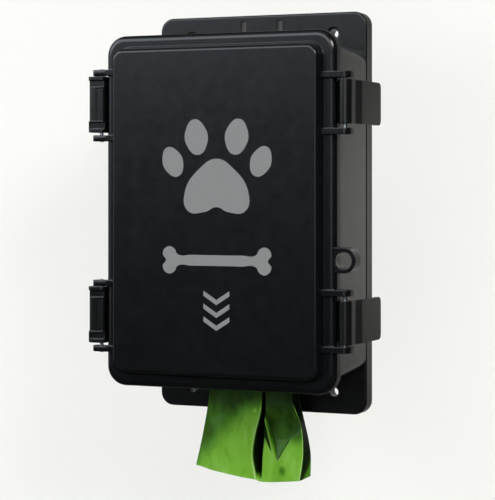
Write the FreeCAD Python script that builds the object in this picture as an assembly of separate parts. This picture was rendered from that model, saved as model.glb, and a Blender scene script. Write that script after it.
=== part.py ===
import FreeCAD, Part
import math
import os
from FreeCAD import Vector

# Wall-mounted dispenser for rolled pet waste bags. Millimetres, Z up, front towards -Y.
# The origin is on the wall, in the middle of the four wall screw holes.

# Wall plate: a shallow tray, open towards the wall
PLATE_W = 184.0
PLATE_H = 326.8
PLATE_D = 14.0
PLATE_R = 11.0
PLATE_WALL = 2.6
PLATE_EDGE_R = 1.6
PLATE_RIB_T = 2.0
WALL_HOLE_MARGIN_X = 28.5
WALL_HOLE_MARGIN_Z = 17.5
WALL_HOLE_D = 7.6
WALL_SINK_D = 10.6
WALL_SINK_DEPTH = 1.5
WALL_BOSS_D = 17.0
STRAP_SLOT_W = 4.7
STRAP_SLOT_L = 14.0
STRAP_SLOT_PITCH = 32.4
STRAP_SLOT_MARGIN = 4.8

# Case: the deep rear shell, with its collar and floor outlet
CASE_RISE = 2.1
COLLAR_STEP_X = 2.9
COLLAR_STEP_Z = 7.0
CASE_D = 82.6
CASE_TAPER = 3.4
CASE_R = 11.0
CASE_WALL = 3.0
COLLAR_D = 7.0
COLLAR_BEVEL = 1.0
TONGUE_T = 2.0
TONGUE_RISE = 2.0

# Lid: the shallow front shell with its raised panel
LID_W = 196.0
LID_H = 280.0
LID_R = 16.0
LID_EDGE = 6.0
LID_EDGE_R = 4.6
LID_SIDE_WALL = 2.4
LID_WALL = 2.4
PANEL_INSET = 9.4
PANEL_RISE = 11.4
PANEL_SLOPE_X = 1.7
PANEL_SLOPE_Z = 2.9
PANEL_R = 12.5
PANEL_FACE_R = 8.5
PANEL_EDGE_R = 2.0
PANEL_WALL = 2.8
SEAL_T = 1.6
SEAL_RIB_T = 2.0
SEAL_RIB_RISE = 3.0

# Hinges at the left edge
HINGE_PITCH = 169.0
HINGE_GAP = 47.8
HINGE_OUT = 5.2
HINGE_BACK = 2.3
HINGE_PIN_D = 3.0
HINGE_PIN_PROUD = 0.6
HINGE_FIN_R = 3.5
HINGE_BARREL_R = 4.5
HINGE_BARREL_OUT = 6.7
HINGE_CAP_H = 9.2
HINGE_END_T = 3.1
HINGE_CORNER_R = 3.0
HINGE_LOW_GAP = 2.2
HINGE_RECESS = 0.7
HINGE_POCKET_DEPTH = 2.4
HINGE_POCKET_RIM = 0.8
HINGE_FOOT_D = 6.4
HINGE_BACK_SHARE = 0.6
HINGE_FLAT_SHARE = 0.75

# Latches at the right edge
LATCH_PITCH = 166.4
LATCH_GAP = 38.4
LATCH_OUT = 6.5
LATCH_BACK = 3.7
LATCH_PIN_D = 3.5
LATCH_PIN_INSET = 0.8
KNUCKLE_R = 5.5
LEVER_W = 33.6
LEVER_SHIFT = 1.1
LEVER_T = 3.0
LEVER_BODY_L = 8.2
LEVER_STEP = 1.6
LEVER_STEP_L = 11.0
LEVER_TAB_L = 40.4
LEVER_FLARE_DEG = 2.0
LEVER_TAB_R = 4.5
LEVER_RIB_T = 2.2
LEVER_RIB_RISE = 2.4
KEEPER_OUT = 3.2
KEEPER_D = 3.5
KEEPER_LEAD = 1.5
HOOK_T = 3.6
HOOK_INSET = 1.0
LATCH_FIN_RISE = 3.7
LATCH_FIN_R = 5.5
LATCH_FIN_OUT = 12.0
LATCH_FIN_BACK = 12.0
FIN_T = 4.8

# Padlock eye: one ear on the lid and one on the case
EYE_Z = -36.8
EYE_OUT = 6.1
EYE_R = 9.8
EYE_HOLE_D = 13.2
EYE_STEP = 1.0

# Bag rolls, spindles and film
ROLL_W = 104.0
FULL_ROLL_D = 66.0
FEED_ROLL_D = 52.0
CORE_D = 28.0
CORE_T = 1.4
CORE_PROUD = 2.0
SPINDLE_WALL = 2.2
SPIGOT_D = 10.0
SPIGOT_L = 9.0
ROLL_PITCH = 104.0
ROLL_SIDE_GAP = 0.8
FILM_T = 2.4
FILM_W = 100.0
FILM_NECK_W = 77.0
FILM_END_W = 101.0
FILM_DROP = 82.0
FILM_END_SLANT = 5.0
FILM_GATHER = 30.0
FILM_NECK_RISE = 12.0
FILM_NECK_DROP = 6.0

# Outlet in the floor of the case
OUTLET_Y = 30.0
OUTLET_W = 92.0
OUTLET_D = 15.0
OUTLET_PAD_DROP = 1.4
OUTLET_PAD_RIM = 1.0
BEZEL_WALL = 1.8
BEZEL_FLANGE = 4.0
BEZEL_FLANGE_T = 1.5
BEZEL_EASE = 0.9
BEZEL_RISE = 1.0

# Roll brackets
BRACKET_T = 2.5
BRACKET_FOOT_W = 16.0
BRACKET_H = 160.0
BRACKET_SPINE = 18.0
BRACKET_ARM_H = 26.0
BRACKET_NOSE = 11.0
BRACKET_SLOT_DEG = 45.0
BRACKET_SCREW_MARGIN = 12.0

# Fasteners
CASE_SCREW_D = 5.0
CASE_SCREW_HEAD_D = 9.5
CASE_SCREW_HEAD_T = 3.4
CASE_SCREW_MARGIN_X = 21.7
CASE_SCREW_MARGIN_Z = 19.6
CASE_BOSS_D = 14.0
CASE_BOSS_RISE = 3.0
INSERT_D = 7.5
INSERT_L = 6.5
BRACKET_SCREW_D = 4.0
BRACKET_SCREW_HEAD_D = 7.6
BRACKET_SCREW_HEAD_T = 2.6
BRACKET_BOSS_D = 10.0
BRACKET_BOSS_RISE = 5.0
BLIND_WALL = 1.0
SCREW_TIP_GAP = 0.5

# Steps in each eased front edge
EASE_STEPS = 4

# How far a cutting shape runs past the faces it cuts, and past the floor of the case
PAST = 1.0
FLOOR_PAST = 20.0

# How far two cutting shapes run into each other
OVERLAP = 0.01

# How near a place an edge must lie to be taken as being there
NEAR = 0.001

# Clearances
PART_GAP = 0.3
RUN_GAP = 0.05
SIDE_GAP = 0.5
ROLL_GAP = 0.3
HOLE_GAP = 0.3

# Sizes and pitches that follow from the ones above
WALL_HOLE_PITCH_X = PLATE_W - 2 * WALL_HOLE_MARGIN_X
WALL_HOLE_PITCH_Z = PLATE_H - 2 * WALL_HOLE_MARGIN_Z
LID_SIZE = (LID_W, LID_H, LID_R)
CASE_W = LID_W - 2 * COLLAR_STEP_X
CASE_H = LID_H - 2 * COLLAR_STEP_Z
CASE_SCREW_PITCH_X = CASE_W - 2 * (CASE_TAPER + CASE_SCREW_MARGIN_X)
CASE_SCREW_PITCH_Z = CASE_H - 2 * (CASE_TAPER + CASE_SCREW_MARGIN_Z)

# Levels along the depth, from the wall to the front
CASE_BACK = -PLATE_D
CASE_FRONT = CASE_BACK - CASE_D
COLLAR_BACK = CASE_FRONT + COLLAR_D
BACK_WALL = CASE_BACK - CASE_WALL
TONGUE_FRONT = CASE_FRONT - TONGUE_RISE
LID_BACK = CASE_FRONT - PART_GAP
LID_FACE = LID_BACK - LID_EDGE
LID_INNER = LID_FACE + LID_WALL
PANEL_FACE = LID_FACE - PANEL_RISE
HINGE_X = -LID_W / 2 - HINGE_OUT
HINGE_Y = LID_FACE + HINGE_BACK
LATCH_X = LID_W / 2 + LATCH_OUT
LATCH_Y = LID_FACE + LATCH_BACK
FILM_Y = -OUTLET_Y
ROLL_Y = FILM_Y - FILM_T / 2 - ROLL_GAP - FEED_ROLL_D / 2
FEED_Z = CASE_RISE - ROLL_PITCH / 2
SPARE_Z = CASE_RISE + ROLL_PITCH / 2
CORE_BORE_D = CORE_D - 2 * CORE_T
SPINDLE_D = CORE_BORE_D - 2 * ROLL_GAP
BRACKET_X = ROLL_W / 2 + ROLL_SIDE_GAP
FLOOR_Z = CASE_RISE - CASE_H / 2
OUTLET_SEAT_Z = FLOOR_Z - OUTLET_PAD_DROP

# Each padlock ear's root: its inner edge and its depth from front to back
CASE_EAR = (CASE_W / 2, CASE_FRONT, COLLAR_BACK)
LID_EAR = (LID_W / 2 - LID_SIDE_WALL, LID_FACE + EYE_STEP, LID_BACK)


def offset_size(size, distance):
    """The size and corner radius of a rounded rectangle moved outward all round."""
    width, height, radius = size
    return width + 2 * distance, height + 2 * distance, radius + distance


def rounded_wire(width, height, radius, y, z=CASE_RISE):
    """A rectangle with round corners in the plane at y, centred at x = 0."""
    x1 = width / 2
    z1 = height / 2
    k = radius * (1 - math.sqrt(0.5))
    corners = []
    for sx, sz in ((1, -1), (1, 1), (-1, 1), (-1, -1)):
        along_z = Vector(sx * x1, y, z + sz * (z1 - radius))
        along_x = Vector(sx * (x1 - radius), y, z + sz * z1)
        middle = Vector(sx * (x1 - k), y, z + sz * (z1 - k))
        if sx * sz < 0:
            corners.append((along_x, middle, along_z))
        else:
            corners.append((along_z, middle, along_x))
    edges = []
    for i, corner in enumerate(corners):
        edges.append(Part.Arc(*corner).toShape())
        edges.append(Part.LineSegment(corner[2], corners[(i + 1) % 4][0]).toShape())
    return Part.Wire(edges)


def slab(width, height, radius, front, back, z=CASE_RISE):
    """A straight block with round corners between two depths."""
    face = Part.Face(rounded_wire(width, height, radius, front, z))
    return face.extrude(Vector(0, back - front, 0))


def tapered(front_size, front, back_size, back, z=CASE_RISE):
    """A block whose outline changes evenly from the front depth to the back depth."""
    wires = [rounded_wire(*front_size, front, z), rounded_wire(*back_size, back, z)]
    return Part.makeLoft(wires, True, True)


def eased_front(front_size, front, back_size, back, radius, z=CASE_RISE):
    """A tapered block whose front edge is rounded off in even steps."""
    wires = []
    for step in range(EASE_STEPS + 1):
        angle = math.pi / 2 * (1 - step / EASE_STEPS)
        inset = radius * (1 - math.cos(angle))
        depth = radius * (1 - math.sin(angle))
        share = depth / (back - front)
        size = [a + (b - a) * share for a, b in zip(front_size, back_size)]
        wires.append(rounded_wire(*offset_size(size, -inset), front + depth, z))
    wires.append(rounded_wire(*back_size, back, z))
    return Part.makeLoft(wires, True, True)


def box(x0, x1, y0, y1, z0, z1):
    return Part.makeBox(x1 - x0, y1 - y0, z1 - z0, Vector(x0, y0, z0))


def rod_x(radius, x0, x1, y, z):
    return Part.makeCylinder(radius, x1 - x0, Vector(x0, y, z), Vector(1, 0, 0))


def rod_y(radius, y0, y1, x, z):
    return Part.makeCylinder(radius, y1 - y0, Vector(x, y0, z), Vector(0, 1, 0))


def rod_z(radius, z0, z1, x, y):
    return Part.makeCylinder(radius, z1 - z0, Vector(x, y, z0), Vector(0, 0, 1))


def upright(points, z0, z1):
    """A block with the given plan outline, between two heights."""
    corners = [Vector(x, y, z0) for x, y in points]
    face = Part.Face(Part.makePolygon(corners + corners[:1]))
    return face.extrude(Vector(0, 0, z1 - z0))


def fuse(shapes):
    return shapes[0].multiFuse(shapes[1:]).removeSplitter()


def four_places(pitch_x, pitch_z, z=0.0):
    return [(sx * pitch_x / 2, z + sz * pitch_z / 2) for sx in (-1, 1) for sz in (-1, 1)]


def wall_plate():
    size = (PLATE_W, PLATE_H, PLATE_R)
    body = eased_front(size, -PLATE_D, size, 0, PLATE_EDGE_R, z=0)
    inner = PLATE_R - PLATE_WALL
    hollow_w = PLATE_W - 2 * PLATE_WALL
    hollow_h = PLATE_H - 2 * PLATE_WALL
    body = body.cut(slab(hollow_w, hollow_h, inner, PLATE_WALL - PLATE_D, PAST, z=0))
    web_front = PLATE_WALL / 2 - PLATE_D
    added = [body]
    rib_x = CASE_SCREW_PITCH_X / 4
    for side in (-1, 1):
        x = side * rib_x
        added.append(box(x - PLATE_RIB_T / 2, x + PLATE_RIB_T / 2, web_front, 0,
                         -CASE_SCREW_PITCH_Z / 2, CASE_SCREW_PITCH_Z / 2))
        z = side * CASE_SCREW_PITCH_Z / 2
        added.append(box(-PLATE_W / 2 + PLATE_WALL / 2, PLATE_W / 2 - PLATE_WALL / 2, web_front, 0,
                         z - PLATE_RIB_T / 2, z + PLATE_RIB_T / 2))
    for x, z in four_places(WALL_HOLE_PITCH_X, WALL_HOLE_PITCH_Z):
        added.append(rod_y(WALL_BOSS_D / 2, web_front, 0, x, z))
    for x, z in four_places(CASE_SCREW_PITCH_X, CASE_SCREW_PITCH_Z, CASE_RISE):
        added.append(rod_y(CASE_BOSS_D / 2, web_front, 0, x, z))
    body = fuse(added)
    for x, z in four_places(WALL_HOLE_PITCH_X, WALL_HOLE_PITCH_Z):
        body = body.cut(rod_y(WALL_HOLE_D / 2, -PLATE_D - PAST, PAST, x, z))
        body = body.cut(rod_y(WALL_SINK_D / 2, -PLATE_D - PAST, WALL_SINK_DEPTH - PLATE_D, x, z))
    for x, z in four_places(CASE_SCREW_PITCH_X, CASE_SCREW_PITCH_Z, CASE_RISE):
        body = body.cut(rod_y(INSERT_D / 2, -PLATE_D - PAST, INSERT_L - PLATE_D, x, z))
    slot_z = PLATE_H / 2 - STRAP_SLOT_MARGIN - STRAP_SLOT_L / 2
    for x, z in four_places(STRAP_SLOT_PITCH, 2 * slot_z):
        body = body.cut(box(x - STRAP_SLOT_W / 2, x + STRAP_SLOT_W / 2, -PLATE_D - PAST, PAST,
                            z - STRAP_SLOT_L / 2, z + STRAP_SLOT_L / 2))
    return body


def ear_root(edge_x, front, back):
    """The square part of a padlock ear, from inside the edge out to the middle of its hole."""
    z = CASE_RISE + EYE_Z
    return box(edge_x, LID_W / 2 + EYE_OUT, front, back, z - EYE_R, z + EYE_R)


def padlock_ear(edge_x, front, back):
    """A round-ended ear at the right edge, let into the wall that it is moulded on."""
    x = LID_W / 2 + EYE_OUT
    z = CASE_RISE + EYE_Z
    end = rod_y(EYE_R, front, back, x, z).common(box(x, x + EYE_R, front, back, z - EYE_R, z + EYE_R))
    ear = fuse([ear_root(edge_x, front, back), end])
    return ear.cut(rod_y(EYE_HOLE_D / 2, front - PAST, back + PAST, x, z))


def case():
    front_size = (CASE_W, CASE_H, CASE_R)
    back_size = (CASE_W - 2 * CASE_TAPER, CASE_H - 2 * CASE_TAPER, CASE_R)
    inner_front = offset_size(front_size, -CASE_WALL)
    shell = tapered(front_size, CASE_FRONT, back_size, CASE_BACK)
    collar = slab(*LID_SIZE, CASE_FRONT, COLLAR_BACK - COLLAR_BEVEL)
    bevel = tapered(LID_SIZE, COLLAR_BACK - COLLAR_BEVEL, offset_size(LID_SIZE, -COLLAR_BEVEL), COLLAR_BACK)
    tongue = slab(*offset_size(inner_front, TONGUE_T), TONGUE_FRONT, CASE_FRONT)
    pad_w = OUTLET_W + 2 * (BEZEL_FLANGE + OUTLET_PAD_RIM)
    pad_d = OUTLET_D + 2 * (BEZEL_FLANGE + OUTLET_PAD_RIM)
    pad = box(-pad_w / 2, pad_w / 2, FILM_Y - pad_d / 2, FILM_Y + pad_d / 2,
              OUTLET_SEAT_Z, FLOOR_Z + CASE_WALL + CASE_TAPER)
    body = fuse([shell, collar, bevel, tongue, pad])
    body = body.cut(tapered(inner_front, CASE_FRONT, offset_size(back_size, -CASE_WALL), BACK_WALL))
    mouth = slab(*inner_front, TONGUE_FRONT - PAST, CASE_FRONT + OVERLAP)
    body = body.cut(mouth).cut(ear_root(*CASE_EAR)).cut(keeper_block(-1)).cut(keeper_block(1))
    added = [body]
    for x, z in four_places(CASE_SCREW_PITCH_X, CASE_SCREW_PITCH_Z, CASE_RISE):
        added.append(rod_y(CASE_BOSS_D / 2, BACK_WALL - CASE_BOSS_RISE, CASE_BACK, x, z))
    for x, z in bracket_screw_places():
        added.append(rod_y(BRACKET_BOSS_D / 2, BACK_WALL - BRACKET_BOSS_RISE, CASE_BACK, x, z))
    body = fuse(added)
    for x, z in four_places(CASE_SCREW_PITCH_X, CASE_SCREW_PITCH_Z, CASE_RISE):
        body = body.cut(rod_y(CASE_SCREW_D / 2 + HOLE_GAP, BACK_WALL - CASE_BOSS_RISE - PAST, PAST, x, z))
    for x, z in bracket_screw_places():
        front = BACK_WALL - BRACKET_BOSS_RISE - PAST
        body = body.cut(rod_y(BRACKET_SCREW_D / 2, front, CASE_BACK - BLIND_WALL, x, z))
    cut_w = OUTLET_W + 2 * HOLE_GAP
    cut_d = OUTLET_D + 2 * HOLE_GAP
    body = body.cut(oblong(cut_w, cut_d, FLOOR_Z - FLOOR_PAST, FLOOR_Z + FLOOR_PAST))
    return body


def keeper_block(side):
    z = CASE_RISE + side * (LATCH_PITCH / 2 + LEVER_SHIFT)
    half = LEVER_W / 2 - HOOK_INSET
    return box(CASE_W / 2, LID_W / 2 + KEEPER_OUT, COLLAR_BACK - KEEPER_D, COLLAR_BACK, z - half, z + half)


def latch_keeper(side):
    """A bar let into the collar, bevelled in front, that the lever's hook snaps over."""
    bar = keeper_block(side)
    lead = [e for e in bar.Edges if e.BoundBox.XMin > LID_W / 2 + KEEPER_OUT - NEAR
            and e.BoundBox.YMax < COLLAR_BACK - KEEPER_D + NEAR]
    return bar.makeChamfer(KEEPER_LEAD, lead)


def oblong(length, width, z0, z1):
    """An upright block with round ends over the outlet, long way along X."""
    x = (length - width) / 2
    ends = [rod_z(width / 2, z0, z1, s * x, FILM_Y) for s in (-1, 1)]
    middle = box(-x, x, FILM_Y - width / 2, FILM_Y + width / 2, z0, z1)
    return fuse([middle] + ends)


def outlet_bezel():
    """A smooth ring in the floor: a flange below, a sleeve up through the hole."""
    seat = OUTLET_SEAT_Z
    top = FLOOR_Z + CASE_WALL + CASE_TAPER + BEZEL_RISE
    flange = oblong(OUTLET_W + 2 * BEZEL_FLANGE, OUTLET_D + 2 * BEZEL_FLANGE, seat - BEZEL_FLANGE_T, seat)
    rim = [e for e in flange.Edges if abs(e.BoundBox.ZMin - (seat - BEZEL_FLANGE_T)) < NEAR
           and abs(e.BoundBox.ZMax - (seat - BEZEL_FLANGE_T)) < NEAR]
    flange = flange.makeChamfer(BEZEL_EASE, rim)
    body = flange.fuse(oblong(OUTLET_W, OUTLET_D, seat - BEZEL_FLANGE_T / 2, top))
    bore_size = (OUTLET_W - 2 * BEZEL_WALL, OUTLET_D - 2 * BEZEL_WALL)
    bore = oblong(*bore_size, seat - BEZEL_FLANGE_T - PAST, top + PAST)
    return body.cut(bore)


def lid_fin_left(z0, z1):
    """A hinge fin: a neck from the lid's edge with a round end about the hinge pin."""
    back = LID_BACK
    front = HINGE_Y - HINGE_FIN_R
    neck = box(HINGE_X, -LID_W / 2 + LID_SIDE_WALL, front, back, z0, z1)
    panel_x = -LID_W / 2 + PANEL_INSET + PANEL_SLOPE_X / 2
    root = box(-LID_W / 2, panel_x, front, LID_FACE + LID_WALL / 2, z0, z1)
    return fuse([neck, root, rod_z(HINGE_FIN_R, z0, z1, HINGE_X, HINGE_Y)])


def lid_fin_right(z0, z1):
    """A latch fin: from beside the panel over the lid's edge, round at the front corner."""
    front = LID_FACE - LATCH_FIN_RISE
    outer = LID_W / 2 + LATCH_FIN_OUT
    r = LATCH_FIN_R
    root = LID_W / 2 - PANEL_INSET - PANEL_SLOPE_X / 2
    face_part = box(root, outer - r, front, LID_FACE + LID_WALL / 2, z0, z1)
    back = LID_FACE + LATCH_FIN_BACK
    side_part = box(LID_W / 2 + PART_GAP, outer, front + r, back, z0, z1)
    edge_part = box(LID_W / 2 - LID_SIDE_WALL, outer - r, front, LID_BACK, z0, z1)
    fin = fuse([face_part, side_part, edge_part, rod_z(r, z0, z1, outer - r, front + r)])
    corner = [e for e in fin.Edges if e.BoundBox.YMin > back - NEAR and e.BoundBox.XMin > outer - NEAR
              and e.BoundBox.ZLength > FIN_T / 2]
    return fin.makeFillet(r / 2, corner)


def fin_pairs(pitch, gap):
    """Lower and upper heights of the two fins at each of two places."""
    pairs = []
    for side in (-1, 1):
        z = CASE_RISE + side * pitch / 2
        pairs.append((z - gap / 2 - FIN_T, z - gap / 2))
        pairs.append((z + gap / 2, z + gap / 2 + FIN_T))
    return pairs


def rebate_size():
    return offset_size(LID_SIZE, -LID_SIDE_WALL)


def seal_rib_size():
    return offset_size((LID_W, LID_H, PANEL_R + PANEL_INSET), SEAL_RIB_T - PANEL_WALL - PANEL_INSET)


def lid():
    skirt = eased_front(LID_SIZE, LID_FACE, LID_SIZE, LID_BACK, LID_EDGE_R)
    root = (LID_W - 2 * PANEL_INSET, LID_H - 2 * PANEL_INSET, PANEL_R)
    face = (root[0] - 2 * PANEL_SLOPE_X, root[1] - 2 * PANEL_SLOPE_Z, PANEL_FACE_R)
    panel = eased_front(face, PANEL_FACE, root, LID_FACE, PANEL_EDGE_R)
    inner_root = offset_size(root, -PANEL_WALL)
    hollow = tapered(offset_size(face, -PANEL_WALL), PANEL_FACE + PANEL_WALL, inner_root, LID_FACE)
    hollow = hollow.fuse(slab(*inner_root, LID_FACE - OVERLAP, LID_BACK + PAST))
    rebate = slab(*rebate_size(), LID_INNER, LID_BACK + PAST)
    fins = [lid_fin_left(z0, z1) for z0, z1 in fin_pairs(HINGE_PITCH, HINGE_GAP)]
    fins += [lid_fin_right(z0, z1) for z0, z1 in fin_pairs(LATCH_PITCH, LATCH_GAP)]
    shell = fuse([skirt, panel]).cut(rebate)
    rib = slab(*seal_rib_size(), LID_INNER - LID_WALL / 2, LID_INNER + SEAL_RIB_RISE)
    body = fuse([shell, rib] + fins).cut(hollow).cut(ear_root(*LID_EAR))
    for z0, z1 in fin_pairs(HINGE_PITCH, HINGE_GAP):
        body = body.cut(rod_z(HINGE_PIN_D / 2 + RUN_GAP, z0 - PAST, z1 + PAST, HINGE_X, HINGE_Y))
    for z0, z1 in fin_pairs(LATCH_PITCH, LATCH_GAP):
        body = body.cut(rod_z(LATCH_PIN_D / 2, z0 - PAST, z1 + PAST, LATCH_X, LATCH_Y))
    return body


def lid_gasket():
    """A flat foam ring in the lid's rebate, which the case's tongue presses on."""
    back = LID_INNER + SEAL_T
    ring = slab(*rebate_size(), LID_INNER, back)
    return ring.cut(slab(*seal_rib_size(), LID_INNER - PAST, back + PAST))


def hinge_bracket(side):
    """The fixed half of a hinge: barrel, hollow end caps and a foot on the collar's edge."""
    centre = CASE_RISE + side * HINGE_PITCH / 2
    z0 = centre - HINGE_GAP / 2 + HINGE_LOW_GAP
    z1 = centre + HINGE_GAP / 2 - SIDE_GAP
    r = HINGE_BARREL_R
    low_top = z0 + HINGE_CAP_H
    body = fuse([
        hinge_section(r, z0, low_top),
        hinge_section(r - HINGE_RECESS, low_top, z1 - HINGE_END_T),
        hinge_section(r, z1 - HINGE_END_T, z1),
    ])
    left = HINGE_X - HINGE_BARREL_OUT - r
    right = HINGE_X + r - HINGE_POCKET_RIM
    front = HINGE_Y - r
    span = (front - PAST, CASE_FRONT + HINGE_FOOT_D + PAST)
    k = HINGE_CORNER_R
    corner = box(left - PAST, left + k, *span, z0 - PAST, z0 + k).cut(rod_y(k, *span, left + k, z0 + k))
    body = body.cut(corner)
    for low, high in ((z0 + HINGE_END_T, low_top - HINGE_POCKET_RIM),
                      (z1 - HINGE_CAP_H + HINGE_POCKET_RIM, z1 - HINGE_END_T)):
        body = body.cut(box(left + 2 * HINGE_POCKET_RIM, right, front - PAST, front + HINGE_POCKET_DEPTH,
                            low, high))
    flat = box(HINGE_X - HINGE_BARREL_OUT + r * HINGE_FLAT_SHARE, HINGE_X + r + PAST,
               front - PAST, front + 2 * HINGE_RECESS, low_top, z1 - HINGE_CAP_H)
    return body.cut(flat).cut(rod_z(HINGE_PIN_D / 2, z0 - PAST, z1 + PAST, HINGE_X, HINGE_Y))


def hinge_section(radius, z0, z1):
    """One height of the hinge half: a barrel with a flat front, and the foot behind it."""
    barrel_x = HINGE_X - HINGE_BARREL_OUT
    foot_back = CASE_FRONT + HINGE_FOOT_D
    block = box(barrel_x - radius, HINGE_X, HINGE_Y, foot_back, z0, z1)
    corner = [e for e in block.Edges if e.BoundBox.XMax < barrel_x - radius + NEAR
              and e.BoundBox.YMin > foot_back - NEAR]
    return fuse([
        rod_z(radius, z0, z1, barrel_x, HINGE_Y),
        box(barrel_x, HINGE_X, HINGE_Y - radius, HINGE_Y + radius, z0, z1),
        rod_z(radius, z0, z1, HINGE_X, HINGE_Y),
        box(HINGE_X, -LID_W / 2, CASE_FRONT + PART_GAP, foot_back, z0, z1),
        block.makeFillet(radius * HINGE_BACK_SHARE, corner),
    ])


def hinge_pin(side):
    centre = CASE_RISE + side * HINGE_PITCH / 2
    half = HINGE_GAP / 2 + FIN_T + HINGE_PIN_PROUD
    return rod_z(HINGE_PIN_D / 2, centre - half, centre + half, HINGE_X, HINGE_Y)


def latch_pin(side):
    centre = CASE_RISE + side * LATCH_PITCH / 2
    half = LATCH_GAP / 2 + FIN_T - LATCH_PIN_INSET
    return rod_z(LATCH_PIN_D / 2, centre - half, centre + half, LATCH_X, LATCH_Y)


def latch_lever(side):
    """A bent plate: a knuckle on the pin, a hook over the keeper and a stepped, flared tab."""
    centre = CASE_RISE + side * (LATCH_PITCH / 2 + LEVER_SHIFT)
    z0 = centre - LEVER_W / 2
    z1 = centre + LEVER_W / 2
    outer = LATCH_X + KNUCKLE_R
    step_y = LATCH_Y + LEVER_BODY_L
    tab_y = step_y + LEVER_STEP_L
    flare = math.radians(LEVER_FLARE_DEG)
    tip_x = outer + LEVER_STEP + LEVER_TAB_L * math.sin(flare)
    tip_y = tab_y + LEVER_TAB_L * math.cos(flare)
    face = [(outer, LATCH_Y), (outer, step_y), (outer + LEVER_STEP, tab_y), (tip_x, tip_y)]
    back = [(x - LEVER_T, y) for x, y in face]
    plate = upright(face + back[:0:-1] + [(LATCH_X, LATCH_Y)], z0, z1)
    corners = [e for e in plate.Edges if e.BoundBox.ZLength < NEAR and e.BoundBox.YMin > tip_y - NEAR]
    plate = plate.makeFillet(LEVER_TAB_R, corners)
    knuckle = rod_z(KNUCKLE_R, z0, z1, LATCH_X, LATCH_Y)
    hook_y = COLLAR_BACK + PART_GAP
    hook_in = LEVER_W / 2 - HOOK_INSET
    nose = LID_W / 2 + KEEPER_OUT + PART_GAP
    hook = box(nose, outer - LEVER_T / 2, hook_y, hook_y + HOOK_T, centre - hook_in, centre + hook_in)
    parts = [plate, knuckle, hook]
    rib_end = tab_y + LEVER_TAB_L / 2
    root = hook_y + HOOK_T / 2
    for z in (centre - LEVER_W / 4, centre + LEVER_W / 4):
        rib = [(outer - LEVER_T / 2, root), (outer + LEVER_STEP - LEVER_T / 2, tab_y),
               (outer + LEVER_STEP - LEVER_T / 2, rib_end), (outer - LEVER_T - LEVER_RIB_RISE, root)]
        parts.append(upright(rib, z - LEVER_RIB_T / 2, z + LEVER_RIB_T / 2))
    return fuse(parts).cut(rod_z(LATCH_PIN_D / 2 + RUN_GAP, z0 - PAST, z1 + PAST, LATCH_X, LATCH_Y))


def pan_screw(diameter, head_d, head_t, seat_y, length, x, z):
    """A pan-head screw along Y whose head seats at seat_y and faces the front."""
    head = rod_y(head_d / 2, seat_y - head_t, seat_y, x, z)
    return head.fuse(rod_y(diameter / 2, seat_y, seat_y + length, x, z))


def case_screws():
    seat = BACK_WALL - CASE_BOSS_RISE
    length = CASE_BOSS_RISE + CASE_WALL + INSERT_L - SCREW_TIP_GAP
    places = four_places(CASE_SCREW_PITCH_X, CASE_SCREW_PITCH_Z, CASE_RISE)
    size = (CASE_SCREW_D, CASE_SCREW_HEAD_D, CASE_SCREW_HEAD_T)
    return Part.makeCompound([pan_screw(*size, seat, length, x, z) for x, z in places])


def plate_inserts():
    inserts = []
    for x, z in four_places(CASE_SCREW_PITCH_X, CASE_SCREW_PITCH_Z, CASE_RISE):
        sleeve = rod_y(INSERT_D / 2, -PLATE_D, INSERT_L - PLATE_D, x, z)
        inserts.append(sleeve.cut(rod_y(CASE_SCREW_D / 2, -PLATE_D - PAST, INSERT_L + PAST, x, z)))
    return Part.makeCompound(inserts)


def bracket_screw_places():
    x = BRACKET_X + BRACKET_T + (BRACKET_FOOT_W - BRACKET_T) / 2
    return four_places(2 * x, BRACKET_H - 2 * BRACKET_SCREW_MARGIN, CASE_RISE)


def roll_bracket(side):
    """A folded strip: a foot on the back wall's bosses and a web with two slotted arms."""
    seat = BACK_WALL - BRACKET_BOSS_RISE
    z0 = CASE_RISE - BRACKET_H / 2
    z1 = CASE_RISE + BRACKET_H / 2
    web_x = (BRACKET_X, BRACKET_X + BRACKET_T)
    foot = box(BRACKET_X, BRACKET_X + BRACKET_FOOT_W, seat - BRACKET_T, seat, z0, z1)
    spine = box(*web_x, seat - BRACKET_SPINE, seat, z0, z1)
    parts = [foot, spine]
    for z in (FEED_Z, SPARE_Z):
        half = BRACKET_ARM_H / 2
        parts.append(box(*web_x, ROLL_Y, seat - BRACKET_SPINE / 2, z - half, z + half))
        nose = rod_x(half, *web_x, ROLL_Y, z).common(
            box(*web_x, ROLL_Y - BRACKET_NOSE, ROLL_Y, z - half, z + half))
        parts.append(nose)
    body = fuse(parts)
    slot_r = SPIGOT_D / 2 + HOLE_GAP
    for z in (FEED_Z, SPARE_Z):
        way = box(web_x[0] - PAST, web_x[1] + PAST, ROLL_Y - slot_r, ROLL_Y + slot_r, z, z + BRACKET_ARM_H)
        way.rotate(Vector(0, ROLL_Y, z), Vector(1, 0, 0), BRACKET_SLOT_DEG)
        body = body.cut(way).cut(rod_x(slot_r, web_x[0] - PAST, web_x[1] + PAST, ROLL_Y, z))
    for x, z in bracket_screw_places():
        if x > 0:
            body = body.cut(rod_y(BRACKET_SCREW_D / 2 + HOLE_GAP, seat - BRACKET_T - PAST, seat + PAST, x, z))
    if side < 0:
        body = body.mirror(Vector(0, 0, 0), Vector(1, 0, 0))
    return body


def bracket_screws():
    seat = BACK_WALL - BRACKET_BOSS_RISE - BRACKET_T
    length = BRACKET_T + BRACKET_BOSS_RISE + CASE_WALL - BLIND_WALL - SCREW_TIP_GAP
    size = (BRACKET_SCREW_D, BRACKET_SCREW_HEAD_D, BRACKET_SCREW_HEAD_T)
    return Part.makeCompound([pan_screw(*size, seat, length, x, z) for x, z in bracket_screw_places()])


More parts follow.
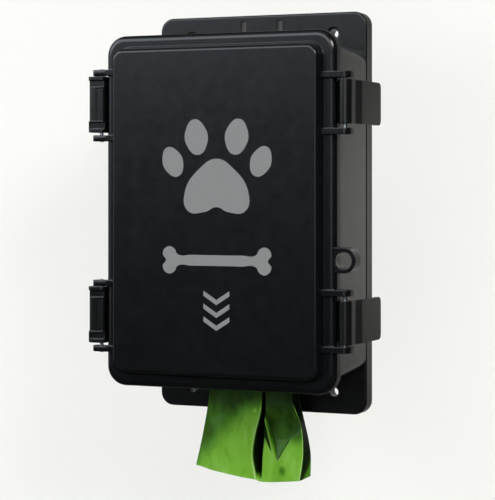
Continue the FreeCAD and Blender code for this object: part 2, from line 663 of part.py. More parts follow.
def spindle(z):
    """A hollow spindle with a solid spigot at each end."""
    half = BRACKET_X - PART_GAP
    end = half + SPIGOT_L
    body = rod_x(SPINDLE_D / 2, -half, half, ROLL_Y, z)
    body = body.fuse(rod_x(SPIGOT_D / 2, -end, end, ROLL_Y, z)).removeSplitter()
    return body.cut(rod_x(SPIGOT_D / 2 - SPINDLE_WALL, -end - PAST, end + PAST, ROLL_Y, z))


def tube_x(outer_d, bore_d, length, z):
    tube = rod_x(outer_d / 2, -length / 2, length / 2, ROLL_Y, z)
    return tube.cut(rod_x(bore_d / 2, -length / 2 - PAST, length / 2 + PAST, ROLL_Y, z))


def roll_core(z):
    return tube_x(CORE_D, CORE_BORE_D, ROLL_W, z)


def bag_roll(outer_d, z):
    return tube_x(outer_d, CORE_D, ROLL_W - CORE_PROUD, z)


def bag_tail():
    """The folded film from the feed roll, down through the outlet and out of the case."""
    neck_top = FLOOR_Z + FILM_NECK_RISE
    neck_low = OUTLET_SEAT_Z - FILM_NECK_DROP
    wide_z = neck_top + FILM_GATHER
    end_z = FLOOR_Z - FILM_DROP
    half = (FILM_W / 2, FILM_NECK_W / 2, FILM_END_W / 2)
    outline = [(-half[0], FEED_Z), (half[0], FEED_Z), (half[0], wide_z), (half[1], neck_top),
               (half[1], neck_low), (half[2], end_z), (0, end_z - FILM_END_SLANT),
               (-half[2], end_z + FILM_END_SLANT), (-half[1], neck_low), (-half[1], neck_top),
               (-half[0], wide_z)]
    corners = [Vector(x, FILM_Y - FILM_T / 2, z) for x, z in outline]
    face = Part.Face(Part.makePolygon(corners + corners[:1]))
    return face.extrude(Vector(0, FILM_T, 0))


def build():
    return {
        "wall_plate": wall_plate(),
        "plate_inserts": plate_inserts(),
        "case": case(),
        "case_padlock_ear": padlock_ear(*CASE_EAR),
        "upper_latch_keeper": latch_keeper(1),
        "lower_latch_keeper": latch_keeper(-1),
        "case_screws": case_screws(),
        "outlet_bezel": outlet_bezel(),
        "lid": lid(),
        "lid_padlock_ear": padlock_ear(*LID_EAR),
        "lid_gasket": lid_gasket(),
        "upper_hinge_bracket": hinge_bracket(1),
        "lower_hinge_bracket": hinge_bracket(-1),
        "upper_hinge_pin": hinge_pin(1),
        "lower_hinge_pin": hinge_pin(-1),
        "upper_latch_lever": latch_lever(1),
        "lower_latch_lever": latch_lever(-1),
        "upper_latch_pin": latch_pin(1),
        "lower_latch_pin": latch_pin(-1),
        "left_roll_bracket": roll_bracket(-1),
        "right_roll_bracket": roll_bracket(1),
        "bracket_screws": bracket_screws(),
        "feed_spindle": spindle(FEED_Z),
        "spare_spindle": spindle(SPARE_Z),
        "feed_roll_core": roll_core(FEED_Z),
        "spare_roll_core": roll_core(SPARE_Z),
        "feed_bag_roll": bag_roll(FEED_ROLL_D, FEED_Z),
        "spare_bag_roll": bag_roll(FULL_ROLL_D, SPARE_Z),
        "bag_tail": bag_tail(),
    }


os.makedirs("parts", exist_ok=True)
for node, shape in build().items():
    shape.exportStep("parts/" + node + ".step")
    print(node, "solids", len(shape.Solids), "valid", shape.isValid(), "volume", round(shape.Volume))
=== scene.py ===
import math
import random

import bmesh
import bpy
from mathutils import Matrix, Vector, noise


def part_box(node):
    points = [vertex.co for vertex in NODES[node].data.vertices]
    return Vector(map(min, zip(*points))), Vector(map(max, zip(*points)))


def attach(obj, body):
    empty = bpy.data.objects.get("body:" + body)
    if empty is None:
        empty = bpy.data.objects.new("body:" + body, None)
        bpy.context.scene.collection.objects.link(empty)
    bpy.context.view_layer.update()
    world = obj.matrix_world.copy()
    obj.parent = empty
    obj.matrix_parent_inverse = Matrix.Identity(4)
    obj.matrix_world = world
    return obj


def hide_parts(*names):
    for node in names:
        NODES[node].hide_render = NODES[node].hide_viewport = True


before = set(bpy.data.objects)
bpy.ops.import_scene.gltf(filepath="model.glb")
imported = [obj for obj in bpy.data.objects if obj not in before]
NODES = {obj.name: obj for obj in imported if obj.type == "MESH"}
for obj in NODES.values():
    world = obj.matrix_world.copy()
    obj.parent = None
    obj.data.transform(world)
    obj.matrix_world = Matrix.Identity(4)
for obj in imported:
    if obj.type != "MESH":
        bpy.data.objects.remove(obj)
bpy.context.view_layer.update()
MM = 0.001

# The dispenser's levels and places, in metres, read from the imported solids
LID_LOW, LID_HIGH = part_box("lid")
CASE_LOW, CASE_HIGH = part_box("case")
TAIL_LOW, TAIL_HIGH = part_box("bag_tail")
PANEL_Y = LID_LOW.y
LID_LOW_X = -98.0 * MM
FILM_Y = (TAIL_LOW.y + TAIL_HIGH.y) / 2


# Camera, stage and light

def hex_colour(code, alpha=1.0):
    """Turns an sRGB hex value into the linear colour that sockets take."""
    channels = [int(code[i:i + 2], 16) / 255 for i in (1, 3, 5)]
    linear = [c / 12.92 if c <= 0.04045 else ((c + 0.055) / 1.055) ** 2.4 for c in channels]
    return (*linear, alpha)


def add_node(tree, kind, links=None, inputs=None, **settings):
    """Adds one shader node, with its settings, its input values and its incoming links."""
    new = tree.nodes.new(kind)
    for key, value in settings.items():
        setattr(new, key, value)
    for key, value in (inputs or {}).items():
        new.inputs[key].default_value = value
    for key, socket in (links or {}).items():
        tree.links.new(socket, new.inputs[key])
    return new


def set_camera():
    """The photograph's view: level, 23 degrees round to the right, and drawn down a little."""
    data = bpy.data.cameras.new("camera")
    data.sensor_width = 36.0
    data.lens = 128.3
    data.shift_y = -0.1304
    camera = bpy.data.objects.new("camera", data)
    camera.location = (0.5660, -1.3765, 0.0229)
    camera.rotation_euler = (math.radians(90), 0, math.radians(23))
    bpy.context.scene.collection.objects.link(camera)
    bpy.context.scene.camera = camera


def area_light(name, place, target, size, power, colour="#FFFFFF"):
    data = bpy.data.lights.new(name, "AREA")
    data.shape = "RECTANGLE"
    data.size, data.size_y = size
    data.energy = power
    data.color = hex_colour(colour)[:3]
    lamp = bpy.data.objects.new(name, data)
    lamp.location = place
    lamp.rotation_euler = (Vector(target) - Vector(place)).to_track_quat("-Z", "Y").to_euler()
    bpy.context.scene.collection.objects.link(lamp)
    return lamp


def stage_material(name, colour, seen_colour):
    """Matt pale paint on one side. Camera, mirror and glass rays see it nearly white, with the
    soft shadows left in, mirror rays see it fall into painted shade further from the object, and
    from behind it is clear, so that the object's back can be seen."""
    material = bpy.data.materials.new(name)
    material.use_nodes = True
    tree = material.node_tree
    tree.nodes.clear()
    paint = add_node(tree, "ShaderNodeBsdfDiffuse", inputs={"Color": hex_colour(colour)})
    white = add_node(tree, "ShaderNodeEmission", inputs={"Color": hex_colour(seen_colour), "Strength": 1.0})
    dark = add_node(tree, "ShaderNodeEmission", inputs={"Strength": 0.0})
    path = add_node(tree, "ShaderNodeLightPath")
    mirror = add_node(tree, "ShaderNodeMath", {0: path.outputs["Is Glossy Ray"], 1: path.outputs["Is Transmission Ray"]},
                      operation="MAXIMUM").outputs[0]
    seen = add_node(tree, "ShaderNodeMath", {0: mirror, 1: path.outputs["Is Camera Ray"]}, operation="MAXIMUM").outputs[0]
    share = add_node(tree, "ShaderNodeMath", {0: seen}, {1: STAGE_LIFT}, operation="MULTIPLY").outputs[0]
    lit = add_node(tree, "ShaderNodeMixShader", {0: share, 1: paint.outputs[0], 2: white.outputs[0]})
    place = add_node(tree, "ShaderNodeTexCoord")
    flat = add_node(tree, "ShaderNodeVectorMath", {0: place.outputs["Object"]}, {1: (1, 1, 0)}, operation="MULTIPLY")
    away = add_node(tree, "ShaderNodeVectorMath", {0: flat.outputs[0]}, operation="LENGTH")
    # painted shade for mirror rays: the wall darkens with distance from the object
    fall = add_node(tree, "ShaderNodeMapRange", {"Value": away.outputs["Value"]},
                    {"From Min": 0.05, "From Max": 0.28, "To Min": 0.0, "To Max": 0.96})
    gone = add_node(tree, "ShaderNodeMath", {0: fall.outputs[0], 1: mirror}, operation="MULTIPLY").outputs[0]
    face = add_node(tree, "ShaderNodeMixShader", {0: gone, 1: lit.outputs[0], 2: dark.outputs[0]})
    side = add_node(tree, "ShaderNodeNewGeometry")
    clear = add_node(tree, "ShaderNodeBsdfTransparent")
    pick = add_node(tree, "ShaderNodeMixShader",
                    {0: side.outputs["Backfacing"], 1: face.outputs[0], 2: clear.outputs[0]})
    add_node(tree, "ShaderNodeOutputMaterial", {0: pick.outputs[0]})
    return material


def smooth_step(tree, value, low, high):
    """0 up to low and 1 from high on, or 1 down to 0 where low is the larger."""
    if low < high:
        ends = {"From Min": low, "From Max": high, "To Min": 0.0, "To Max": 1.0}
    else:
        ends = {"From Min": high, "From Max": low, "To Min": 1.0, "To Max": 0.0}
    return add_node(tree, "ShaderNodeMapRange", {"Value": value}, ends, interpolation_type="SMOOTHSTEP").outputs[0]


def studio_glow(tree, azimuth, height, sides, levels, strength):
    """One soft bright field of the room, by degrees round from the front and degrees up."""
    lit = None
    for value, (low, high, soft) in ((azimuth, sides), (height, levels)):
        for start, end in ((low - soft, low + soft), (high + soft, high - soft)):
            edge = smooth_step(tree, value, math.radians(start), math.radians(end))
            lit = edge if lit is None else add_node(tree, "ShaderNodeMath", {0: lit, 1: edge},
                                                    operation="MULTIPLY").outputs[0]
    return add_node(tree, "ShaderNodeMath", {0: lit}, {1: strength}, operation="MULTIPLY").outputs[0]


STAGE_LIFT = 0.64

# Soft fields that gloss mirrors: (from, to, softness) round from the front and up, strength
STUDIO_GLOWS = (
    ((-75, 32, 8), (-8, 30, 3.0), 0.08),
    ((-75, 30, 8), (0.0, 30, 3.5), 0.20),
    ((-80, -20, 14), (5.0, 14, 2.5), 3.0),
    ((-80, 10, 14), (12, 48, 4), 6.0),
    ((3, 33, 3), (-14, 26, 6), 2.4),
    ((-95, -45, 8), (-40, 40, 10), 0.9),
    ((-180, 180, 1), (60, 91, 12), 0.8),
)


def studio_world():
    """Plain soft light for matt things, a white room to the camera, and for gloss a dim
    room with soft bright fields."""
    world = bpy.data.worlds.new("studio")
    bpy.context.scene.world = world
    world.use_nodes = True
    tree = world.node_tree
    tree.nodes.clear()
    way = add_node(tree, "ShaderNodeTexCoord")
    split = add_node(tree, "ShaderNodeSeparateXYZ", {0: way.outputs["Generated"]})
    front = add_node(tree, "ShaderNodeMath", {0: split.outputs["Y"]}, {1: -1.0}, operation="MULTIPLY")
    azimuth = add_node(tree, "ShaderNodeMath", {0: split.outputs["X"], 1: front.outputs[0]}, operation="ARCTAN2")
    height = add_node(tree, "ShaderNodeMath", {0: split.outputs["Z"]}, operation="ARCSINE")
    total = None
    for sides, levels, strength in STUDIO_GLOWS:
        glow = studio_glow(tree, azimuth.outputs[0], height.outputs[0], sides, levels, strength)
        total = glow if total is None else add_node(tree, "ShaderNodeMath", {0: total, 1: glow}).outputs[0]
    dim = add_node(tree, "ShaderNodeMath", {0: total}, {1: 0.035})
    mirror = add_node(tree, "ShaderNodeBackground", {"Strength": dim.outputs[0]}, {"Color": hex_colour("#E9F1FA")})
    soft = add_node(tree, "ShaderNodeBackground", inputs={"Color": hex_colour("#F2F4F5"), "Strength": 0.28})
    path = add_node(tree, "ShaderNodeLightPath")
    glossy = add_node(tree, "ShaderNodeMixShader",
                      {0: path.outputs["Is Glossy Ray"], 1: soft.outputs[0], 2: mirror.outputs[0]})
    white = add_node(tree, "ShaderNodeBackground", inputs={"Color": hex_colour("#F7F8F6"), "Strength": 1.0})
    pick = add_node(tree, "ShaderNodeMixShader",
                    {0: path.outputs["Is Camera Ray"], 1: glossy.outputs[0], 2: white.outputs[0]})
    add_node(tree, "ShaderNodeOutputWorld", {0: pick.outputs[0]})


def set_stage():
    """A pale wall a hand behind the plate, a pale floor, a key light from the right and
    softer lamps above and on the left."""
    for name, place, turn in (("backdrop", (0, 0.10, 0), 90), ("floor", (0, -4.4, -0.62), 0)):
        bpy.ops.object.select_all(action="DESELECT")
        bpy.ops.mesh.primitive_plane_add(size=9, location=place, rotation=(math.radians(turn), 0, 0))
        plane = bpy.context.object
        plane.name = name
        plane.data.materials.append(stage_material("pale_matt_" + name, "#F0F0ED", "#FAFBF8"))
    studio_world()
    area_light("key_softbox", (1.55, -1.65, 1.15), (0.02, -0.05, -0.1), (0.7, 0.7), 36, "#FFFDF8")
    for lamp in (area_light("overhead_softbox", (0.1, -0.9, 1.9), (0, -0.05, 0), (1.4, 0.7), 16),
                 area_light("left_softbox", (-1.7, -1.3, 0.5), (0, -0.08, 0), (0.8, 0.8), 16, "#F6F9FF")):
        lamp.visible_glossy = False


# Finishes

def begin_material(name):
    """A material with only a Principled shader, an output and object coordinates."""
    material = bpy.data.materials.new(name)
    material.use_nodes = True
    tree = material.node_tree
    tree.nodes.clear()
    shader = add_node(tree, "ShaderNodeBsdfPrincipled")
    add_node(tree, "ShaderNodeOutputMaterial", {0: shader.outputs[0]})
    place = add_node(tree, "ShaderNodeTexCoord")
    return material, tree, shader, place.outputs["Object"]


def per_metre(size_mm):
    """The Scale of a noise whose features are about size_mm across."""
    return 1000 / size_mm


def moulded_abs(name, colour, dark, rough_low, rough_high, grain_mm, grain_depth):
    """Injection-moulded ABS from a polished tool: black with a soft satin mirror, and edges
    eased by about half a millimetre, which catch a fine line of light."""
    material, tree, shader, place = begin_material(name)
    shader.inputs["IOR"].default_value = 1.5
    shader.inputs["Specular IOR Level"].default_value = 0.28
    cloud = add_node(tree, "ShaderNodeTexNoise", {"Vector": place},
                     {"Scale": per_metre(38), "Detail": 3.0, "Roughness": 0.55})
    tint = add_node(tree, "ShaderNodeMix", {0: cloud.outputs["Fac"]}, {6: hex_colour(dark), 7: hex_colour(colour)},
                    data_type="RGBA")
    tree.links.new(tint.outputs[2], shader.inputs["Base Color"])
    rub = add_node(tree, "ShaderNodeTexNoise", {"Vector": place},
                   {"Scale": per_metre(9), "Detail": 4.0, "Roughness": 0.6})
    rough = add_node(tree, "ShaderNodeMapRange", {"Value": rub.outputs["Fac"]},
                     {"From Min": 0.3, "From Max": 0.7, "To Min": rough_low, "To Max": rough_high})
    tree.links.new(rough.outputs[0], shader.inputs["Roughness"])
    eased = add_node(tree, "ShaderNodeBevel", inputs={"Radius": 0.9 * MM}, samples=8)
    grain = add_node(tree, "ShaderNodeTexNoise", {"Vector": place},
                     {"Scale": per_metre(grain_mm), "Detail": 2.0})
    bump = add_node(tree, "ShaderNodeBump", {"Height": grain.outputs["Fac"], "Normal": eased.outputs[0]},
                    {"Strength": 0.25, "Distance": grain_depth * MM})
    tree.links.new(bump.outputs[0], shader.inputs["Normal"])
    return material


def metal_finish(name, colour, tone, rough, spread, stretch, line_mm):
    """A plated or turned metal: bright, with fine lines that run one way round or along it."""
    material, tree, shader, place = begin_material(name)
    shader.inputs["Metallic"].default_value = 1.0
    patch = add_node(tree, "ShaderNodeTexNoise", {"Vector": place},
                     {"Scale": per_metre(14), "Detail": 3.0})
    tint = add_node(tree, "ShaderNodeMix", {"Factor": patch.outputs["Fac"]}, data_type="RGBA")
    tint.inputs[6].default_value = hex_colour(tone)
    tint.inputs[7].default_value = hex_colour(colour)
    tree.links.new(tint.outputs[2], shader.inputs["Base Color"])
    along = add_node(tree, "ShaderNodeMapping", {"Vector": place}, {"Scale": stretch})
    lines = add_node(tree, "ShaderNodeTexNoise", {"Vector": along.outputs[0]},
                     {"Scale": per_metre(line_mm), "Detail": 3.0})
    worn = add_node(tree, "ShaderNodeMapRange", {"Value": lines.outputs["Fac"]},
                    {"From Min": 0.3, "From Max": 0.7, "To Min": rough - spread, "To Max": rough + spread})
    tree.links.new(worn.outputs[0], shader.inputs["Roughness"])
    bump = add_node(tree, "ShaderNodeBump", {"Height": lines.outputs["Fac"]},
                    {"Strength": 0.25, "Distance": 0.03 * MM})
    tree.links.new(bump.outputs[0], shader.inputs["Normal"])
    return material


def closed_cell_foam():
    """EPDM sponge rubber, die-cut: dull near-black with open cells about 0.6 mm across."""
    material, tree, shader, place = begin_material("die_cut_epdm_foam")
    shader.inputs["Roughness"].default_value = 0.9
    cells = add_node(tree, "ShaderNodeTexVoronoi", {"Vector": place}, {"Scale": per_metre(0.8)})
    tint = add_node(tree, "ShaderNodeValToRGB", {"Fac": cells.outputs["Distance"]})
    tint.color_ramp.elements[0].color = hex_colour("#101010")
    tint.color_ramp.elements[1].color = hex_colour("#2B2C2C")
    tree.links.new(tint.outputs[0], shader.inputs["Base Color"])
    bump = add_node(tree, "ShaderNodeBump", {"Height": cells.outputs["Distance"]},
                    {"Strength": 0.6, "Distance": 0.25 * MM})
    tree.links.new(bump.outputs[0], shader.inputs["Normal"])
    return material


def wound_card(name, centre):
    """Spiral-wound kraft card: brown paper plies about 40 mm wide, with a fine open seam
    between them and fibres along the ply."""
    material, tree, shader, place = begin_material(name)
    shader.inputs["Roughness"].default_value = 0.85
    moved = add_node(tree, "ShaderNodeVectorMath", {0: place}, {1: centre}, operation="SUBTRACT")
    split = add_node(tree, "ShaderNodeSeparateXYZ", {0: moved.outputs[0]})
    turn = add_node(tree, "ShaderNodeMath", {0: split.outputs["Z"], 1: split.outputs["Y"]}, operation="ARCTAN2")
    share = add_node(tree, "ShaderNodeMath", {0: turn.outputs[0]}, {1: math.tau}, operation="DIVIDE")
    run = add_node(tree, "ShaderNodeMath", {0: split.outputs["X"], 2: share.outputs[0]}, {1: 1 / 0.04},
                   operation="MULTIPLY_ADD")
    ply = add_node(tree, "ShaderNodeMath", {0: run.outputs[0]}, operation="FRACT")
    seam = add_node(tree, "ShaderNodeMath", {0: ply.outputs[0]}, {1: 0.025}, operation="LESS_THAN")
    fibre = add_node(tree, "ShaderNodeTexNoise", {"Vector": place}, {"Scale": per_metre(1.6), "Detail": 5.0})
    brown = add_node(tree, "ShaderNodeValToRGB", {"Fac": fibre.outputs["Fac"]})
    brown.color_ramp.elements[0].color = hex_colour("#8A6A45")
    brown.color_ramp.elements[1].color = hex_colour("#B8946A")
    tint = add_node(tree, "ShaderNodeMix", {0: seam.outputs[0], 6: brown.outputs[0]}, data_type="RGBA")
    tint.inputs[7].default_value = hex_colour("#5E452B")
    tree.links.new(tint.outputs[2], shader.inputs["Base Color"])
    depth = add_node(tree, "ShaderNodeMath", {0: fibre.outputs["Fac"], 1: seam.outputs[0]}, operation="SUBTRACT")
    bump = add_node(tree, "ShaderNodeBump", {"Height": depth.outputs[0]}, {"Strength": 0.4, "Distance": 0.08 * MM})
    tree.links.new(bump.outputs[0], shader.inputs["Normal"])
    return material


def blown_film(name, tones, stretch, crease_mm, crease_depth, paints_light):
    """Blown polyethylene bag film, dyed green: a thin skin with a wet-looking sheen and fine
    creases. Its per-point levels, when used, give it painted shade in its folds, its tuck and
    under the case, and painted highlights along its sharp creases."""
    material, tree, shader, place = begin_material(name)
    shader.inputs["IOR"].default_value = 1.51
    shader.inputs["Specular IOR Level"].default_value = 0.16
    along = add_node(tree, "ShaderNodeMapping", {"Vector": place}, {"Scale": stretch})
    crease = add_node(tree, "ShaderNodeTexNoise", {"Vector": along.outputs[0]},
                      {"Scale": per_metre(crease_mm), "Detail": 4.0, "Roughness": 0.5, "Distortion": 0.6})
    level = add_node(tree, "ShaderNodeMapRange", {"Value": crease.outputs["Fac"]},
                     {"From Min": 0.3, "From Max": 0.7, "To Min": -0.06, "To Max": 0.06}).outputs[0]
    # the per-point levels of painted light and shade, added to the crease noise
    if paints_light:
        painted_light_levels = add_node(tree, "ShaderNodeAttribute", attribute_name="film_painted_light")
        level = add_node(tree, "ShaderNodeMath", {0: painted_light_levels.outputs["Fac"], 1: level}).outputs[0]
    else:
        level = add_node(tree, "ShaderNodeMath", {0: level}, {1: 0.5}).outputs[0]
    ramp = add_node(tree, "ShaderNodeValToRGB", {"Fac": level})
    steps = ramp.color_ramp.elements
    steps[0].position, steps[0].color = tones[0][0], hex_colour(tones[0][1])
    steps[1].position, steps[1].color = tones[-1][0], hex_colour(tones[-1][1])
    for place_on_ramp, code in tones[1:-1]:
        steps.new(place_on_ramp).color = hex_colour(code)
    tree.links.new(ramp.outputs[0], shader.inputs["Base Color"])
    shine = add_node(tree, "ShaderNodeMapRange", {"Value": crease.outputs["Fac"]},
                     {"From Min": 0.3, "From Max": 0.7, "To Min": 0.24, "To Max": 0.4})
    tree.links.new(shine.outputs[0], shader.inputs["Roughness"])
    bump = add_node(tree, "ShaderNodeBump", {"Height": crease.outputs["Fac"]},
                    {"Strength": 0.4, "Distance": crease_depth * MM})
    tree.links.new(bump.outputs[0], shader.inputs["Normal"])
    return material


def screen_print():
    """Screen-printed grey vinyl ink: flat, matt and opaque, with the mesh's faint speckle."""
    material, tree, shader, place = begin_material("screen_printed_grey_ink")
    speck = add_node(tree, "ShaderNodeTexNoise", {"Vector": place}, {"Scale": per_metre(0.7), "Detail": 2.0})
    tint = add_node(tree, "ShaderNodeMix", {0: speck.outputs["Fac"]}, data_type="RGBA")
    tint.inputs[6].default_value = hex_colour("#6E6F70")
    tint.inputs[7].default_value = hex_colour("#818283")
    tree.links.new(tint.outputs[2], shader.inputs["Base Color"])
    shader.inputs["Roughness"].default_value = 0.62
    shader.inputs["Specular IOR Level"].default_value = 0.3
    bump = add_node(tree, "ShaderNodeBump", {"Height": speck.outputs["Fac"]}, {"Strength": 0.2, "Distance": 0.02 * MM})
    tree.links.new(bump.outputs[0], shader.inputs["Normal"])
    return material


def dress(name, material):
    """Gives a CAD node its finish."""
    slots = NODES[name].material_slots
    for slot in slots:
        slot.material = material


def finish_piece(piece, name, body, material, smooth_deg=35.0):
    """Names a new piece, gives it its finish and lets it ride on its CAD body."""
    piece.name = name
    piece.data.name = name
    bpy.ops.object.select_all(action="DESELECT")
    piece.select_set(True)
    bpy.context.view_layer.objects.active = piece
    bpy.ops.object.transform_apply(location=True, rotation=True, scale=True)
    bpy.ops.object.shade_smooth_by_angle(angle=math.radians(smooth_deg))
    piece.data.materials.clear()
    piece.data.materials.append(material)
    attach(piece, body)
    return piece


def apply_modifier(piece, kind, **settings):
    modifier = piece.modifiers.new(kind.lower(), kind)
    for key, value in settings.items():
        setattr(modifier, key, value)
    bpy.ops.object.select_all(action="DESELECT")
    piece.select_set(True)
    bpy.context.view_layer.objects.active = piece
    bpy.ops.object.modifier_apply(modifier=modifier.name)


# The printed design on the lid

INK_T = 0.12 * MM


def ink_outline(knots, centre, scale, ink):
    """A flat print inside a smooth outline through a few knots, a hair proud of the panel."""
    bpy.ops.object.select_all(action="DESELECT")
    bpy.ops.curve.primitive_bezier_circle_add(location=(0, 0, 0))
    curve = bpy.context.object
    curve.data.dimensions = "2D"
    curve.data.fill_mode = "BOTH"
    curve.data.resolution_u = 12
    spline = curve.data.splines[0]
    spline.bezier_points.add(len(knots) - len(spline.bezier_points))
    for point, (x, z, kind) in zip(spline.bezier_points, knots):
        point.co = (x * MM * scale, z * MM * scale, 0)
        point.handle_left_type = point.handle_right_type = kind
    bpy.ops.object.convert(target="MESH")
    piece = bpy.context.object
    piece.rotation_euler = (math.radians(90), 0, 0)
    piece.location = (centre[0] * MM, PANEL_Y + 0.02 * MM, centre[1] * MM)
    bpy.ops.object.transform_apply(location=True, rotation=True, scale=True)
    apply_modifier(piece, "SOLIDIFY", thickness=INK_T, offset=1.0)
    lowest = min(v.co.y for v in piece.data.vertices)
    for vertex in piece.data.vertices:
        vertex.co.y += PANEL_Y - INK_T - lowest
    return piece


def smooth_knots(points):
    return [(x, z, "AUTO") for x, z in points]


def printed_design(ink):
    """A paw, a bone and three arrowheads that point to the outlet."""
    lid_z = (LID_LOW.z + LID_HIGH.z) / 2 / MM
    pad = [(0, 17), (13, 10), (24, -6), (22, -19), (9, -20), (0, -16.5), (-9, -20), (-22, -19), (-24, -6), (-13, 10)]
    toe = [(0, 15), (8, 8), (9, -4), (0, -13), (-9, -4), (-8, 8)]
    pieces = [ink_outline(smooth_knots(pad), (4, lid_z + 22), 1.12, ink)]
    for x, z, size, lean in ((-33, 38, 0.88, 24), (-13, 57, 1.0, 8), (21, 57, 1.0, -8), (41, 38, 0.88, -24)):
        c, s = math.cos(math.radians(lean)), math.sin(math.radians(lean))
        turned = [(px * c - pz * s, px * s + pz * c) for px, pz in toe]
        pieces.append(ink_outline(smooth_knots(turned), (x, lid_z + z), size, ink))
    half = [(0, 4.4), (22, 4.5), (35, 4.9), (38, 9.5), (44, 11), (48.5, 5), (45.5, 0)]
    low_half = [(x, -z) for x, z in half[-2::-1]]
    bone = half + low_half + [(-x, -z) for x, z in half[1:]] + [(-x, z) for x, z in half[-2:0:-1]]
    pieces.append(ink_outline(smooth_knots(bone), (4, lid_z - 38), 0.95, ink))
    arrow = [(-11, 4.5), (0, -2.5), (11, 4.5), (11, 0.5), (0, -6.5), (-11, 0.5)]
    for step in range(3):
        knots = [(x, z, "VECTOR") for x, z in arrow]
        pieces.append(ink_outline(knots, (4, lid_z - 66 - 10 * step), 1.0, ink))
    for number, piece in enumerate(pieces, 1):
        finish_piece(piece, f"panel_print_{number}", "lid", ink, 30.0)


# Fasteners

def cross_recess_screw(x, seat_y, z, head_d, head_t, shank_d, length):
    """One pan-head screw along Y, with a cross recess and rolled thread."""
    bpy.ops.object.select_all(action="DESELECT")
    bpy.ops.mesh.primitive_cylinder_add(vertices=32, radius=head_d / 2, depth=head_t, location=(0, 0, 0))
    screw = bpy.context.object
    bpy.ops.object.mode_set(mode="EDIT")
    bpy.ops.mesh.select_mode(type="FACE")
    bpy.ops.mesh.select_all(action="DESELECT")
    mesh = bmesh.from_edit_mesh(screw.data)
    for face in mesh.faces:
        face.select = face.normal.z < -0.9
    bmesh.update_edit_mesh(screw.data)
    bpy.ops.mesh.inset(thickness=(head_d - shank_d) / 2)
    turns = 9
    step = length / (2 * turns)
    for turn in range(turns):
        grow = 0.86 if turn % 2 else 1 / 0.86
        for scale in ((grow if turn else 0.93), 1.0):
            bpy.ops.mesh.extrude_region_move(TRANSFORM_OT_translate={"value": (0, 0, -step)})
            if scale != 1.0:
                bpy.ops.transform.resize(value=(scale, scale, 1), center_override=(0, 0, 0))
    bpy.ops.mesh.select_mode(type="EDGE")
    bpy.ops.mesh.select_all(action="DESELECT")
    mesh = bmesh.from_edit_mesh(screw.data)
    for edge in mesh.edges:
        edge.select = all(v.co.z > head_t / 2 - 1e-6 for v in edge.verts)
    bmesh.update_edit_mesh(screw.data)
    bpy.ops.mesh.bevel(offset=head_t * 0.45, segments=4, profile=0.6)
    bpy.ops.object.mode_set(mode="OBJECT")
    for turn in (0, 90):
        bpy.ops.object.select_all(action="DESELECT")
        bpy.ops.mesh.primitive_cube_add(size=1, location=(0, 0, head_t / 2), rotation=(0, 0, math.radians(turn)))
        bit = bpy.context.object
        bit.scale = (head_d * 0.56, head_d * 0.13, head_t * 0.9)
        bpy.ops.object.transform_apply(location=True, rotation=True, scale=True)
        apply_modifier(screw, "BOOLEAN", operation="DIFFERENCE", object=bit, solver="EXACT")
        bpy.data.objects.remove(bit)
    screw.rotation_euler = (math.radians(90), 0, 0)
    screw.location = (x, seat_y - head_t / 2, z)
    bpy.ops.object.select_all(action="DESELECT")
    screw.select_set(True)
    bpy.context.view_layer.objects.active = screw
    bpy.ops.object.transform_apply(location=True, rotation=True, scale=True)
    return screw


def join(pieces):
    bpy.ops.object.select_all(action="DESELECT")
    for piece in pieces:
        piece.select_set(True)
    bpy.context.view_layer.objects.active = pieces[0]
    bpy.ops.object.join()
    return bpy.context.object


def screw_set(node, name, head_d, head_t, shank_d, steel):
    """Puts detailed screws where a node of four plain ones is."""
    low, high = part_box(node)
    length = high.y - low.y - head_t
    seat = low.y + head_t
    inset = head_d / 2
    places = [(x, z) for x in (low.x + inset, high.x - inset) for z in (low.z + inset, high.z - inset)]
    screws = [cross_recess_screw(x, seat, z, head_d, head_t, shank_d, length) for x, z in places]
    piece = finish_piece(join(screws), name, "root", steel)
    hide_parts(node)


# Small moulded parts

SLOT_W, SLOT_L = 4.7 * MM, 14.0 * MM
SLOT_X, SLOT_Z = 16.2 * MM, 151.6 * MM
SLEEVE_WALL = 1.6 * MM
PLATE_SKIN = 2.6 * MM
HINGE_FIN_T = 4.8 * MM
HINGE_PIN_PROUD = 0.6 * MM
TIP_OVER = 0.08 * MM


def block(low, high):
    """A box between two corners, alone in the selection and in edit mode."""
    bpy.ops.object.select_all(action="DESELECT")
    bpy.ops.mesh.primitive_cube_add(size=1, location=[(a + b) / 2 for a, b in zip(low, high)])
    piece = bpy.context.object
    piece.scale = [b - a for a, b in zip(low, high)]
    bpy.ops.object.transform_apply(location=True, rotation=True, scale=True)
    bpy.ops.object.mode_set(mode="EDIT")
    bpy.ops.mesh.select_all(action="DESELECT")
    return piece


def pick_faces(piece, test):
    bpy.ops.mesh.select_mode(type="FACE")
    bpy.ops.mesh.select_all(action="DESELECT")
    mesh = bmesh.from_edit_mesh(piece.data)
    for face in mesh.faces:
        face.select = test(face)
    bmesh.update_edit_mesh(piece.data)


def pick_edges(piece, test):
    bpy.ops.mesh.select_mode(type="EDGE")
    bpy.ops.mesh.select_all(action="DESELECT")
    mesh = bmesh.from_edit_mesh(piece.data)
    for edge in mesh.edges:
        edge.select = test(edge)
    bmesh.update_edit_mesh(piece.data)


